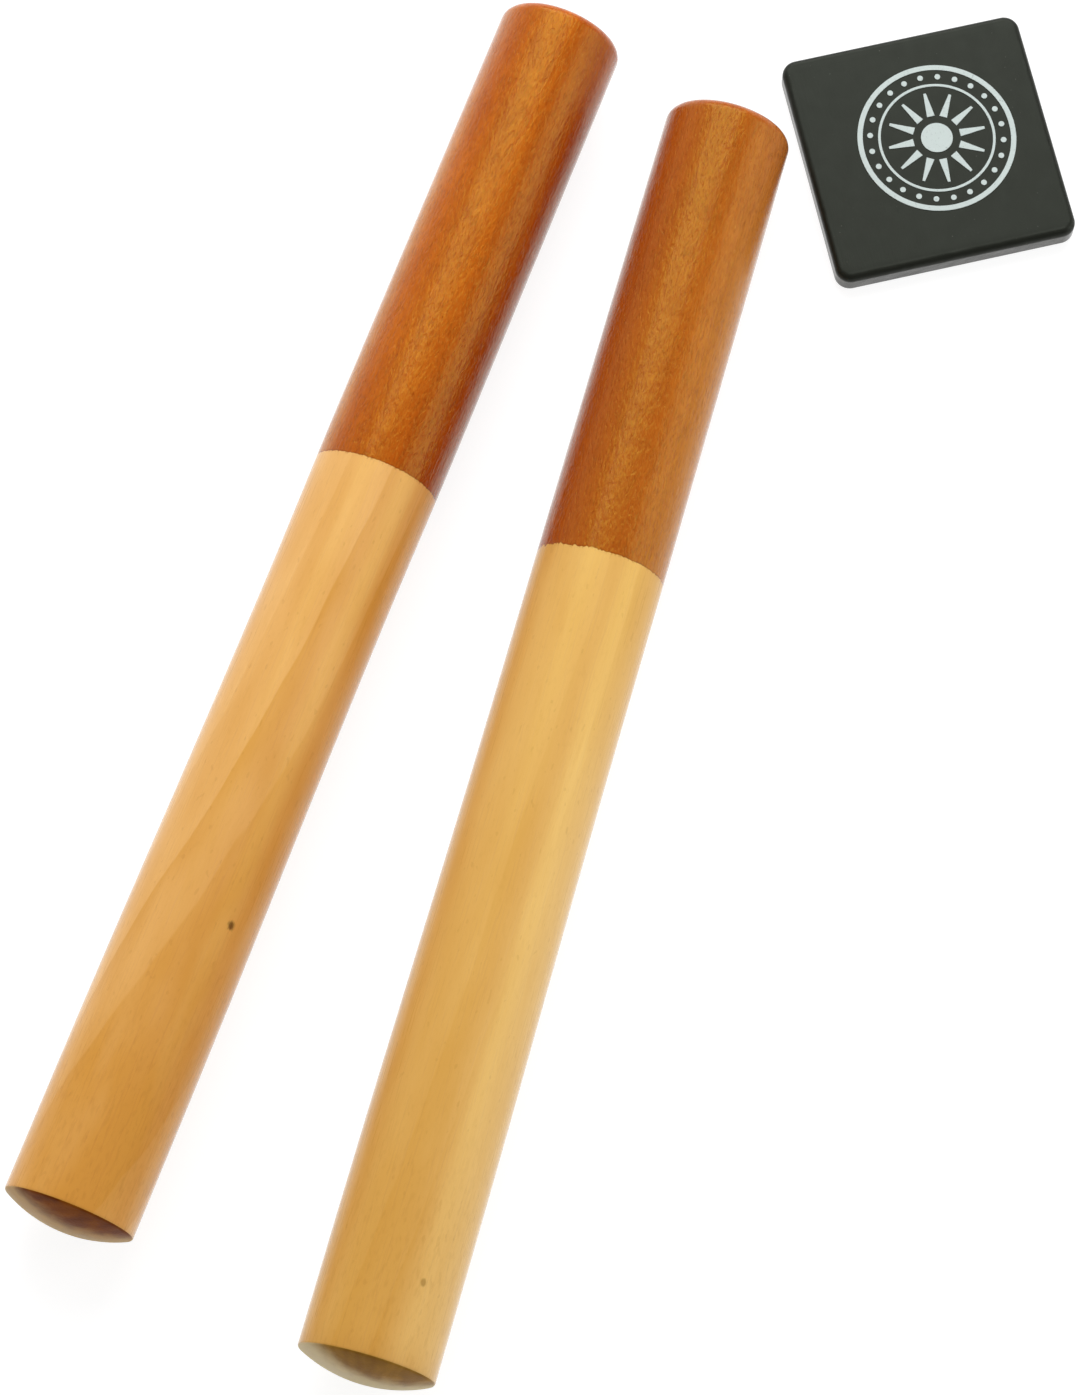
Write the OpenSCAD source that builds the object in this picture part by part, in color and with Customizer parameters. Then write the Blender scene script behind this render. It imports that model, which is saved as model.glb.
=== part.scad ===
// Woodblock set: a thin square block and a pair of turned striking sticks, lying on a table.
// Millimetres, +Z up. The origin is the centre of the block's underside, and the sticks' mean
// direction is Y, with the grips beside the block and the playing ends towards -Y.

/* [Block] */
// Side of the square block
block_side = 47; // [36:0.5:70]
// Height of the block
block_height = 5; // [3:0.5:10]
// Radius of the block's upright corners
block_corner_radius = 3; // [1.6:0.2:8]
// Rounding of the block's top and bottom edges
block_edge_radius = 0.8; // [0.3:0.1:1.4]

/* [Printed mark] */
// Distance from the block's sides to the mark, before the mark is shifted
mark_margin = 8.3; // [4:0.1:12]
// Shift of the mark along the block's own X
mark_shift_x = 2; // [-2.4:0.1:2.4]
// Shift of the mark along the block's own Y
mark_shift_y = 1.3; // [-2.4:0.1:2.4]
// Thickness of the printed layer
mark_thickness = 0.1; // [0.05:0.05:0.3]
// Width of the mark's outer line
mark_line_width = 1; // [0.5:0.1:1.4]
// Width of the mark's inner line
mark_inner_line_width = 0.5; // [0.3:0.1:0.7]
// Diameter of the dots between the two lines
mark_dot_diameter = 1.1; // [0.5:0.1:1.4]
// Number of dots between the two lines
mark_dot_count = 24; // [8:1:32]
// Width of a ray at its root
ray_root_width = 1.5; // [0.6:0.1:1.7]
// Width of a ray at its tip
ray_tip_width = 0.5; // [0.3:0.1:1]
// Number of rays
ray_count = 12; // [6:1:14]

/* [Sticks] */
// Length of a stick over both domed ends
stick_length = 250; // [190:1:320]
// Height of the dome at each end
dome_height = 3.1; // [2:0.1:5]
// Rounding between the side and the dome at the playing end
playing_rim_radius = 0.8; // [0.5:0.1:2]
// Rounding between the side and the dome at the grip end
grip_rim_radius = 2.4; // [1:0.1:4]
// Depth to which the grip's stain coats the wood
stain_thickness = 0.2; // [0.1:0.05:0.4]

/* [Left stick] */
// Diameter of the left stick's grip
left_grip_diameter = 23.8; // [18:0.1:30]
// How much thicker the left stick's swell is than its grip
left_swell_rise = 0.55; // [0:0.05:2]
// How much thinner the left stick's waist is than its grip
left_waist_drop = 0.5; // [0:0.05:2]
// Length of the left stick's stained end
left_stain_length = 100; // [60:1:130]

/* [Right stick] */
// Diameter of the right stick's grip
right_grip_diameter = 24.1; // [18:0.1:30]
// How much thicker the right stick's swell is than its grip
right_swell_rise = 0.9; // [0:0.05:2]
// How much thinner the right stick's waist is than its grip
right_waist_drop = 0.05; // [0:0.05:2]
// Length of the right stick's stained end
right_stain_length = 95; // [60:1:130]

/* [Layout] */
// Turn of the block, anticlockwise from above
block_turn = 31.4; // [0:0.1:45]
// Gap between the block's side and the end of the right grip
block_gap = 3.7; // [2:0.1:20]
// How far along the block's side the end of the right grip sits
grip_end_offset = 2.4; // [-6:0.1:6]
// Gap between the ends of the two grips
stick_gap = 12.35; // [6:0.05:40]
// How much further up the table the left grip ends than the right
stick_stagger = 8.8; // [0:0.1:20]
// Angle at which the sticks spread towards their playing ends
stick_splay = 5.17; // [0:0.01:12]

/* [Hidden] */
$fn = 96;

// Places along a stick as shares of its length from the playing end
swell_share = 0.1;
waist_share = 0.49;
grip_share = 0.65;
// Radii inside the mark as shares of the mark's own radius
dot_circle_share = 0.84;
inner_line_share = 0.74;
ray_tip_share = 0.62;
ray_root_share = 0.3;
disc_share = 0.2;
// Steps in a rim's rounding, in a dome and in each half of a stick's side
rim_steps = 6;
dome_steps = 12;
side_steps = 16;
// Overrun of a cut past the face that it goes through
cut_overrun = 1;

mark_radius = block_side / 2 - mark_margin;

left_grip_radius = left_grip_diameter / 2;
left_swell_radius = left_grip_radius + left_swell_rise / 2;
left_waist_radius = left_grip_radius - left_waist_drop / 2;
right_grip_radius = right_grip_diameter / 2;
right_swell_radius = right_grip_radius + right_swell_rise / 2;
right_waist_radius = right_grip_radius - right_waist_drop / 2;

// The right grip's rim beside the block, in the block's own axes
rim_along = -(block_side / 2 + block_gap);
right_end_x = rim_along * cos(block_turn) - grip_end_offset * sin(block_turn) - right_grip_radius;
right_end_y = rim_along * sin(block_turn) + grip_end_offset * cos(block_turn);
left_end_x = right_end_x - right_grip_radius - stick_gap - left_grip_radius;
left_end_y = right_end_y + stick_stagger;

// A dome is a sphere's cap, dome_height high where it would meet the side
function dome_radius(radius) = (radius * radius + dome_height * dome_height) / (2 * dome_height);

// Height above the dome's tip of the centre of the rounding between dome and side
function rim_centre(radius, rim) =
    dome_radius(radius) - sqrt(pow(dome_radius(radius) - rim, 2) - pow(radius - rim, 2));

// Angle that the rounding turns through, from the side round to the dome
function rim_angle(radius, rim) = atan2(dome_radius(radius) - rim_centre(radius, rim), radius - rim);

// Outline of a domed end from just past the side to the tip, sunk below its true surface by inset
function end_outline(radius, rim, inset) =
    let (sphere = dome_radius(radius), height = rim_centre(radius, rim), turn = rim_angle(radius, rim))
    concat(
        [for (i = [1 : rim_steps])
            let (a = turn * i / rim_steps)
            [radius - rim + (rim - inset) * cos(a), height - (rim - inset) * sin(a)]],
        [for (i = [1 : dome_steps])
            let (a = (90 - turn) * (1 - i / dome_steps))
            [(sphere - inset) * sin(a), sphere - (sphere - inset) * cos(a)]]
    );

// Smooth passage from one radius to another
function blend(from, to, part) = from + (to - from) * (1 - cos(180 * part)) / 2;

// Radius of a stick's side at a share of its length from the playing end
function side_radius(grip, swell, waist, share) =
    share <= swell_share ? swell
    : share <= waist_share ? blend(swell, waist, (share - swell_share) / (waist_share - swell_share))
    : share <= grip_share ? blend(waist, grip, (share - waist_share) / (grip_share - waist_share))
    : grip;

// Outline of a stick's side between two heights above the grip's tip, sunk below its true surface by inset
function side_outline(grip, swell, waist, low, high, inset) =
    [for (i = [0 : side_steps])
        let (height = low + (high - low) * i / side_steps)
        [side_radius(grip, swell, waist, 1 - height / stick_length) - inset, height]];

function reversed(points) = [for (i = [len(points) - 1 : -1 : 0]) points[i]];

// Outline of the playing end from just past the side to its tip, measured above the grip's tip
function playing_outline(swell) =
    [for (p = end_outline(swell, playing_rim_radius, 0)) [p[0], stick_length - p[1]]];

// Angle at which a stick lies, because it rests on its swell and on the end of its grip
function stick_lean(grip, swell) =
    atan2(swell - grip, stick_length * (1 - swell_share) - rim_centre(grip, grip_rim_radius));

// Height of a stick's axis above the table where the grip's side and dome would meet
function rim_height(grip, swell) =
    let (lean = stick_lean(grip, swell))
    grip * cos(lean) + (dome_height - rim_centre(grip, grip_rim_radius)) * sin(lean);

// Lays a stick that stands on its grip's tip along the table, with its grip's rim at a place
module lay_stick(grip, swell, turn, place) {
    lean = stick_lean(grip, swell);
    translate([place[0], place[1], rim_height(grip, swell)])
        rotate([90 - lean, 0, turn])
            translate([0, 0, -dome_height])
                children();
}

// One dowel, cut back under the stained end by the depth of the stain
module stick_wood(grip, swell, waist, stain_length) {
    grip_start = rim_centre(grip, grip_rim_radius);
    side_end = stick_length - rim_centre(swell, playing_rim_radius);
    rotate_extrude()
        polygon(concat(
            reversed(end_outline(grip, grip_rim_radius, stain_thickness)),
            side_outline(grip, swell, waist, grip_start, stain_length, stain_thickness),
            side_outline(grip, swell, waist, stain_length, side_end, 0),
            playing_outline(swell)
        ));
}

// The stained end: a cup that fits the cut-back end of the dowel
module stick_stain(grip, swell, waist, stain_length) {
    grip_start = rim_centre(grip, grip_rim_radius);
    rotate_extrude()
        polygon(concat(
            reversed(end_outline(grip, grip_rim_radius, 0)),
            side_outline(grip, swell, waist, grip_start, stain_length, 0),
            reversed(side_outline(grip, swell, waist, grip_start, stain_length, stain_thickness)),
            end_outline(grip, grip_rim_radius, stain_thickness)
        ));
}

// Cross-section of the block's edge: a rectangle whose corners are rounded
module rounded_section(width, height, radius) {
    translate([-width / 2, radius]) square([width, height - 2 * radius]);
    translate([-width / 2 + radius, 0]) square([width - 2 * radius, height]);
    for (x = [-width / 2 + radius, width / 2 - radius], y = [radius, height - radius])
        translate([x, y]) circle(r = radius);
}

// A bar along X or Y with the block's full width across and its rounded edges
module block_bar(turn) {
    bar_length = block_side - 2 * block_corner_radius;
    rotate([0, 0, turn])
        translate([-bar_length / 2, 0, 0])
            rotate([90, 0, 90])
                linear_extrude(height = bar_length)
                    rounded_section(block_side, block_height, block_edge_radius);
}

// An upright round post with the block's rounded edges
module block_corner() {
    rotate_extrude()
        intersection() {
            rounded_section(2 * block_corner_radius, block_height, block_edge_radius);
            square([block_corner_radius + cut_overrun, block_height + cut_overrun]);
        }
}

module block() {
    corner = block_side / 2 - block_corner_radius;
    color([0.09, 0.09, 0.085])
        rotate([0, 0, block_turn]) {
            block_bar(0);
            block_bar(90);
            for (x = [-corner, corner], y = [-corner, corner])
                translate([x, y, 0]) block_corner();
        }
}

module ring(outer, width) {
    difference() {
        circle(r = outer);
        circle(r = outer - width);
    }
}

// One tapered ray that points along X
module ray() {
    polygon([
        [mark_radius * ray_root_share, -ray_root_width / 2],
        [mark_radius * ray_tip_share, -ray_tip_width / 2],
        [mark_radius * ray_tip_share, ray_tip_width / 2],
        [mark_radius * ray_root_share, ray_root_width / 2]
    ]);
}

module block_mark() {
    color([0.78, 0.83, 0.82])
        rotate([0, 0, block_turn])
            translate([mark_shift_x, mark_shift_y, block_height])
                linear_extrude(height = mark_thickness) {
                    ring(mark_radius, mark_line_width);
                    ring(mark_radius * inner_line_share, mark_inner_line_width);
                    circle(r = mark_radius * disc_share);
                    for (i = [0 : mark_dot_count - 1])
                        rotate(360 * i / mark_dot_count)
                            translate([mark_radius * dot_circle_share, 0])
                                circle(d = mark_dot_diameter);
                    for (i = [0 : ray_count - 1])
                        rotate(360 * i / ray_count) ray();
                }
}

module left_stick() {
    color([0.86, 0.66, 0.4])
        lay_stick(left_grip_radius, left_swell_radius, -stick_splay / 2, [left_end_x, left_end_y])
            stick_wood(left_grip_radius, left_swell_radius, left_waist_radius, left_stain_length);
}

module left_grip_stain() {
    color([0.6, 0.3, 0.1])
        lay_stick(left_grip_radius, left_swell_radius, -stick_splay / 2, [left_end_x, left_end_y])
            stick_stain(left_grip_radius, left_swell_radius, left_waist_radius, left_stain_length);
}

module right_stick() {
    color([0.86, 0.68, 0.42])
        lay_stick(right_grip_radius, right_swell_radius, stick_splay / 2, [right_end_x, right_end_y])
            stick_wood(right_grip_radius, right_swell_radius, right_waist_radius, right_stain_length);
}

module right_grip_stain() {
    color([0.6, 0.3, 0.1])
        lay_stick(right_grip_radius, right_swell_radius, stick_splay / 2, [right_end_x, right_end_y])
            stick_stain(right_grip_radius, right_swell_radius, right_waist_radius, right_stain_length);
}

block();
block_mark();
left_stick();
left_grip_stain();
right_stick();
right_grip_stain();
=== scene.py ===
"""Dresses the woodblock set: a painted square block and two turned striking sticks with stained grips."""

import sys

import logging
import math
from dataclasses import dataclass
from enum import Enum

import bpy
import numpy as np
from mathutils import Matrix, Vector


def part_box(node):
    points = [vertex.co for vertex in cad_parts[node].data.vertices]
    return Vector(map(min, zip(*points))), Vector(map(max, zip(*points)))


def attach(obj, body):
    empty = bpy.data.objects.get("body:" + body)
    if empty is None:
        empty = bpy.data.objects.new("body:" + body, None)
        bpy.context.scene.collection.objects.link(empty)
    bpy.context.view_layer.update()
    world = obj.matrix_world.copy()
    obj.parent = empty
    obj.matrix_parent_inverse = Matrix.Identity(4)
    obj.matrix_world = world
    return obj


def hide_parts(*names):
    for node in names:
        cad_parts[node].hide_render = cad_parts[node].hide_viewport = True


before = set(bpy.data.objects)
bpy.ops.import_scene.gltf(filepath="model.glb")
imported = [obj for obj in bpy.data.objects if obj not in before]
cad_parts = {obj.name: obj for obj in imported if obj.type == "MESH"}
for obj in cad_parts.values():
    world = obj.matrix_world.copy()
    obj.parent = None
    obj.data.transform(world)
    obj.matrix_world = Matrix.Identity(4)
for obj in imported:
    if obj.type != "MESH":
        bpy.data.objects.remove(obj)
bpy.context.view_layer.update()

MM = 0.001
LOG = logging.getLogger("woodblock_set")

Colour = tuple[int, int, int]
Pair = tuple[float, float]
Point = tuple[float, float, float]
Socket = bpy.types.NodeSocket

# The low, high, bottom and top of a smooth climb, as Graph.step takes them.
Ramp = tuple[float, float, float, float]

# Faces that meet at more than this angle keep a sharp edge between them.
SHARP_TURN = math.radians(40)

# What an attribute holds at a piece's poles, in millimetres, which is far from the stain's edge.
FAR = 100.0


class Slot(Enum):
    """Names of the material slots."""

    PAINT = "black_paint"
    PRINT = "pale_print"
    WOOD = "pale_wood"
    STAIN = "stained_wood"


class Side(Enum):
    """The two sticks of the pair, by where they lie."""

    LEFT = "left"
    RIGHT = "right"


# Shared tools


def linear(colour: Colour) -> tuple[float, float, float, float]:
    """Turns a colour as it looks on a screen into the shader's linear values, by the sRGB curve.

    Args:
        colour: Red, green and blue from 0 to 255.

    Returns:
        Linear red, green and blue from 0 to 1, and full opacity.
    """
    share = np.array(colour, float) / 255
    straight = np.where(share <= 0.04045, share / 12.92, ((share + 0.055) / 1.055) ** 2.4)
    return (*straight.tolist(), 1.0)


def ring_noise(positions: np.ndarray, cells: int, rng: np.random.Generator) -> np.ndarray:
    """Random heights on a closed ring, joined by half cosine waves.

    A place between the ring values a and b, at a share s of the way, gets a + (b - a)(1 - cos(pi s)) / 2.

    Args:
        positions: Places round the ring, from 0 to 1.
        cells: How many random values the ring holds.
        rng: The seeded source of the values.

    Returns:
        One height from -1 to 1 for each position.
    """
    values = rng.uniform(-1, 1, cells)
    place = np.mod(positions, 1) * cells
    first = np.floor(place).astype(int)
    share = (1 - np.cos(np.pi * (place - first))) / 2
    return values[first % cells] * (1 - share) + values[(first + 1) % cells] * share


def closed_surface(
    name: str, rings: np.ndarray, first_pole: np.ndarray, last_pole: np.ndarray
) -> bpy.types.Object:
    """Joins rings of points into one closed surface with a point at each end.

    Neighbouring rings are joined by quads, and the first and last ring to their poles by triangles. The sum
    of each quad's p0 . (p1 x p2) tells whether the surface is inside out, and then every face is turned.

    Args:
        name: Name of the piece.
        rings: Points in metres, shaped (rings, columns, 3).
        first_pole: Point that closes the first ring.
        last_pole: Point that closes the last ring.

    Returns:
        The new object, with its faces outwards and smooth, and sharp edges where it turns sharply.
    """
    count, columns = rings.shape[:2]
    points = np.concatenate([rings.reshape(-1, 3), first_pole[None], last_pole[None]])
    here = np.arange(columns)
    ahead = np.roll(here, -1)
    rows = (np.arange(count - 1) * columns)[:, None]
    near, beside = rows + here, rows + ahead
    quads = np.stack([near, beside, beside + columns, near + columns], -1).reshape(-1, 4)
    start = np.stack([np.full(columns, count * columns), ahead, here], -1)
    last = (count - 1) * columns
    end = np.stack([np.full(columns, count * columns + 1), last + here, last + ahead], -1)
    corners = points[quads]
    if np.einsum("ij,ij->", corners[:, 0], np.cross(corners[:, 1], corners[:, 2])) < 0:
        quads, start, end = quads[:, ::-1], start[:, ::-1], end[:, ::-1]
    mesh = bpy.data.meshes.new(name)
    mesh.from_pydata(points.tolist(), [], quads.tolist() + start.tolist() + end.tolist())
    mesh.shade_smooth()
    mesh.set_sharp_from_angle(angle=SHARP_TURN)
    mesh.update()
    piece = bpy.data.objects.new(name, mesh)
    bpy.context.scene.collection.objects.link(piece)
    return piece


def add_attribute(piece: bpy.types.Object, name: str, values: np.ndarray) -> None:
    """Stores one number for each point of a piece, for its material to read.

    Args:
        piece: The piece whose mesh gets the attribute.
        name: Name of the attribute.
        values: One number for each ring point, in the mesh's order. The two poles get FAR.
    """
    layer = piece.data.attributes.new(name, "FLOAT", "POINT")
    layer.data.foreach_set("value", np.concatenate([values.ravel(), [FAR, FAR]]).astype(np.float32))


@dataclass(frozen=True)
class Noise:
    """Soft noise and how a finish uses it.

    It is stretched to run from 0 at low to 1 at high, and share says how far it is blended in. On wood, the
    place along the stick is first scaled by along, so that a small value gives long streaks, and the place
    across it is moved by shift, so that no two fields are alike.
    """

    scale: float
    share: float = 1
    low: float = 0.3
    high: float = 0.7
    detail: float = 2
    roughness: float = 0.55
    along: float = 1
    shift: float = 0


class Graph:
    """The nodes of a material or a world, added by short calls that return the socket to read."""

    def __init__(self, owner: bpy.types.ID) -> None:
        """Starts with no nodes in the owner."""
        self.owner = owner
        owner.use_nodes = True
        self.tree = owner.node_tree
        self.tree.nodes.clear()

    def node(self, kind: str, inputs: dict | None = None, **settings: object) -> bpy.types.Node:
        """Adds a node.

        Args:
            kind: Blender's name of the node type.
            inputs: What each named or numbered input reads: a socket or a constant.
            **settings: Attributes to set on the node before its inputs.

        Returns:
            The node.
        """
        made = self.tree.nodes.new(kind)
        for key, value in settings.items():
            setattr(made, key, value)
        for key, value in (inputs or {}).items():
            if isinstance(value, Socket):
                self.tree.links.new(value, made.inputs[key])
            else:
                made.inputs[key].default_value = value
        return made

    def math(self, operation: str, *terms: object) -> Socket:
        """Returns the result of one arithmetic operation on sockets or numbers."""
        return self.node("ShaderNodeMath", dict(enumerate(terms)), operation=operation).outputs[0]

    def combine(self, x: object, y: object, z: object) -> Socket:
        """Returns a vector made of three numbers or sockets."""
        return self.node("ShaderNodeCombineXYZ", {0: x, 1: y, 2: z}).outputs[0]

    def times(self, first: object, second: object) -> Socket:
        """Returns the product of two numbers."""
        return self.math("MULTIPLY", first, second)

    def plus(self, base: object, value: object, share: object) -> Socket:
        """Returns base + value * share."""
        return self.math("MULTIPLY_ADD", value, share, base)

    def tinted(self, base: Colour, *tints: tuple[Colour, object]) -> Socket:
        """Blends tints into a colour, one after the other.

        Args:
            base: The colour below them.
            *tints: Each tint and its share, from 0 to 1.

        Returns:
            The colour with them.
        """
        colour = linear(base)
        for tint, share in tints:
            inputs = {0: share, 6: colour, 7: linear(tint)}
            colour = self.node("ShaderNodeMix", inputs, data_type="RGBA").outputs[2]
        return colour

    def step(self, value: object, low: float, high: float, bottom: float = 0, top: float = 1) -> Socket:
        """Returns a smooth climb from bottom to top as value goes from low to high."""
        inputs = {0: value, 1: low, 2: high, 3: bottom, 4: top}
        return self.node("ShaderNodeMapRange", inputs, interpolation_type="SMOOTHSTEP").outputs[0]

    def noise(self, vector: object, field: Noise) -> Socket:
        """Returns a field's noise over a vector, soft and round 0.5."""
        inputs = {"Vector": vector, "Scale": field.scale, "Detail": field.detail}
        return self.node("ShaderNodeTexNoise", {**inputs, "Roughness": field.roughness}).outputs[0]

    def spread(self, vector: object, field: Noise, top: float = 1) -> Socket:
        """Returns a field's noise over a vector, stretched to run from 0 to top."""
        return self.step(self.noise(vector, field), field.low, field.high, 0, top)

    def attribute(self, name: str) -> Socket:
        """Returns a number that the mesh holds at each point."""
        return self.node("ShaderNodeAttribute", attribute_name=name).outputs["Fac"]

    def own(self, origin: object, rotation: object) -> Socket:
        """Returns each point in a piece's own millimetres.

        Args:
            origin: Where the piece's own origin lies in the frame, in metres.
            rotation: How its own axes are turned.

        Returns:
            The point.
        """
        inputs = {
            "Vector": self.node("ShaderNodeTexCoord").outputs["Object"],
            "Location": origin,
            "Rotation": rotation,
            "Scale": (MM, MM, MM),
        }
        return self.node("ShaderNodeMapping", inputs, vector_type="TEXTURE").outputs[0]

    def surface(
        self, colour: object, roughness: object, relief: object, depth: float, gloss: dict
    ) -> bpy.types.Material:
        """Ends the material in one Principled shader.

        Args:
            colour: Its base colour.
            roughness: Its roughness.
            relief: How high the surface stands, from 0 to 1.
            depth: What that height stands for, in millimetres.
            gloss: The shader's other inputs.

        Returns:
            The finished material.
        """
        bump = self.node("ShaderNodeBump", {"Height": relief, "Distance": depth * MM, "Strength": 1.0})
        inputs = {"Base Color": colour, "Roughness": roughness, **gloss, "Normal": bump.outputs[0]}
        shader = self.node("ShaderNodeBsdfPrincipled", inputs)
        self.node("ShaderNodeOutputMaterial", {"Surface": shader.outputs[0]})
        return self.owner


# Where things lie


@dataclass(frozen=True)
class Layout:
    """How the three loose things lie on the table, in millimetres and degrees."""

    block_side: float = 47
    block_height: float = 5
    block_turn: float = 31.4
    block_gap: float = 3.7
    grip_end_offset: float = 2.4
    stick_gap: float = 12.35
    stick_stagger: float = 8.8
    stick_splay: float = 5.17

    def rim_centre(self, side: Side, left_grip: float, right_grip: float) -> tuple[float, float, float]:
        """Finds where the middle of a stick's grip rim stands, and how far the stick is turned.

        The right stick lies block_gap to the left of the block and the left one stick_gap further on.

        Args:
            side: Which stick.
            left_grip: Radius of the left stick's grip.
            right_grip: Radius of the right stick's grip.

        Returns:
            X, Y and the turn in degrees.
        """
        turn = math.radians(self.block_turn)
        across = -(self.block_side / 2 + self.block_gap)
        x = across * math.cos(turn) - self.grip_end_offset * math.sin(turn) - right_grip
        y = across * math.sin(turn) + self.grip_end_offset * math.cos(turn)
        if side is Side.RIGHT:
            return x, y, self.stick_splay / 2
        return x - right_grip - self.stick_gap - left_grip, y + self.stick_stagger, -self.stick_splay / 2


@dataclass(frozen=True)
class Placement:
    """A stick's own axes in the frame, in millimetres, from the tip of its grip, and its length.

    The rows of axes are the own X to the right, the own Y up and the own Z towards the playing end.
    """

    tip: np.ndarray
    axes: np.ndarray
    length: float

    def to_frame(self, points: np.ndarray) -> np.ndarray:
        """Turns points in the stick's own millimetres into metres in the frame."""
        return (self.tip + points @ self.axes) * MM


# Finishes

VARNISH = {
    "IOR": 1.45,
    "Specular Tint": (1.0, 0.95, 0.1, 1.0),
    "Sheen Weight": 0.9,
    "Sheen Roughness": 0.12,
    "Sheen Tint": (1.0, 0.95, 0.8, 1.0),
    "Coat Weight": 1.0,
    "Coat IOR": 1.1,
    "Coat Roughness": 0.15,
}

CUT_FUZZ = {
    "IOR": 1.15,
    "Sheen Weight": 1.0,
    "Sheen Roughness": 0.12,
    "Sheen Tint": (1.0, 0.85, 0.3, 1.0),
}


@dataclass(frozen=True)
class GrowthLayers:
    """The wide growth layers of a stick's wood, each with a sharp edge and a slow fade.

    The first layer's edge runs along the stick at an angle round it, in degrees from the top towards the
    right: angle + slope * d + bend * d * d, with d the distance in millimetres past bent_from from the tip,
    and no less than least_bent.
    The first layer is as dark as first says, from 0 to 1, and every other one as dark as others says. Past
    the first edge the wood also darkens slowly, by as much as heart says. The seed moves all noise in the
    wood, so that no two sticks are alike.
    """

    angle: float
    slope: float
    bend: float
    width: float
    waver: float
    first: float
    others: float
    heart: float
    seed: float
    bent_from: float = 100
    least_bent: float = -10
    fade_power: float = 1.8
    edge_share: float = 0.05
    heart_rise: Pair = (-0.1, 1.5)
    wave: Noise = Noise(scale=0.18, detail=3, roughness=0.5, along=0.12, shift=3)


@dataclass(frozen=True)
class Blemish:
    """A knot or pit in the surface: angle from the top, distance from the tip and half sizes in millimetres.

    Its tint is full up to the share core of its size and gone at the share fringe.
    """

    angle: float
    place: float
    half_width: float
    half_length: float
    tint: Colour
    strength: float
    core: float = 0.4
    fringe: float = 1.2
    ragged: Noise = Noise(scale=1.6, share=0.9, roughness=0.5, along=0.5, shift=17)


class WoodPattern:
    """The fields of a stick's wood in its own millimetres, in one of its materials."""

    def __init__(self, name: str, placement: Placement, growth: GrowthLayers) -> None:
        """Starts the material with the nodes that give each point of the stick its own coordinates.

        Args:
            name: Name of the material.
            placement: Where the stick lies.
            growth: How its growth layers run.
        """
        graph = Graph(bpy.data.materials.new(name))
        self.graph = graph
        self.length = placement.length
        self.growth = growth
        own = graph.own((placement.tip * MM).tolist(), Matrix(placement.axes.T.tolist()).to_euler())
        self.x, self.y, self.z = graph.node("ShaderNodeSeparateXYZ", {0: own}).outputs
        self.turn = graph.math("ARCTAN2", self.x, self.y)
        self.radius = graph.math("SQRT", graph.plus(graph.math("POWER", self.y, 2.0), self.x, self.x))

    def noise(self, field: Noise) -> Socket:
        """Returns a field's noise, with its streaks along the grain."""
        graph = self.graph
        across = graph.math("ADD", self.x, self.growth.seed + field.shift)
        return graph.noise(graph.combine(across, self.y, graph.times(self.z, field.along)), field)

    def spread(self, field: Noise, top: float = 1) -> Socket:
        """Returns a field's noise along the grain, stretched to run from 0 to top."""
        return self.graph.step(self.noise(field), field.low, field.high, 0, top)

    def share(self, field: Noise) -> Socket:
        """Returns a field's noise along the grain, stretched to run from 0 to its share."""
        return self.spread(field, field.share)

    def facing(self, angle: float) -> Socket:
        """Returns the cosine of how far round the stick each point is from an angle in degrees."""
        return self.graph.math("COSINE", self.graph.math("SUBTRACT", self.turn, math.radians(angle)))

    def layers(self) -> tuple[Socket, Socket]:
        """Places each point in its growth layer.

        With p the angle of the first layer's edge, x cos p - y sin p is the distance from the plane through
        that edge. Divided by the layers' width and wavered by noise, its fraction f runs from 0 at a layer's
        sharp edge to 1 at the next. The wood's darkness is (1 - f)^fade_power times the layer's own, and the
        slow climb past the first edge.

        Returns:
            The fraction and the darkness, both from 0 to 1.
        """
        graph, growth = self.graph, self.growth
        past = graph.math("MAXIMUM", graph.math("SUBTRACT", self.z, growth.bent_from), growth.least_bent)
        turn = graph.plus(math.radians(growth.slope), past, math.radians(growth.bend))
        turn = graph.plus(math.radians(growth.angle), turn, past)
        off = graph.times(self.y, graph.math("SINE", turn))
        off = graph.math("SUBTRACT", graph.times(self.x, graph.math("COSINE", turn)), off)
        off = graph.plus(off, graph.math("SUBTRACT", self.noise(growth.wave), 0.5), growth.waver)
        place = graph.math("DIVIDE", off, growth.width)
        part = graph.math("FRACT", place)
        first = graph.math("COMPARE", graph.math("FLOOR", place), 0.0, 0.5)
        depth = graph.plus(growth.others, first, growth.first - growth.others)
        fade = graph.math("POWER", graph.math("SUBTRACT", 1.0, part), growth.fade_power)
        fade = graph.times(fade, graph.step(part, 0, growth.edge_share))
        heart = graph.step(place, *growth.heart_rise, 0, growth.heart)
        return part, graph.plus(heart, fade, depth)

    def blemished(self, spot: Blemish) -> Socket:
        """Finds how much of a blemish's tint each point has.

        The distance from its middle, over its half sizes, is sqrt(across^2 + along^2), made ragged by noise.

        Args:
            spot: The knot or pit.

        Returns:
            The share, from 0 to 1.
        """
        graph = self.graph
        across = graph.times(graph.math("SUBTRACT", self.turn, math.radians(spot.angle)), self.radius)
        across = graph.math("POWER", graph.math("DIVIDE", across, spot.half_width), 2.0)
        along = graph.math("DIVIDE", graph.math("SUBTRACT", self.z, spot.place), spot.half_length)
        far = graph.math("SQRT", graph.plus(across, along, along))
        reach = spot.ragged.share
        far = graph.math("ADD", far, graph.plus(-reach / 2, self.noise(spot.ragged), reach))
        return graph.step(far, spot.core, spot.fringe, spot.strength, 0)


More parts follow.
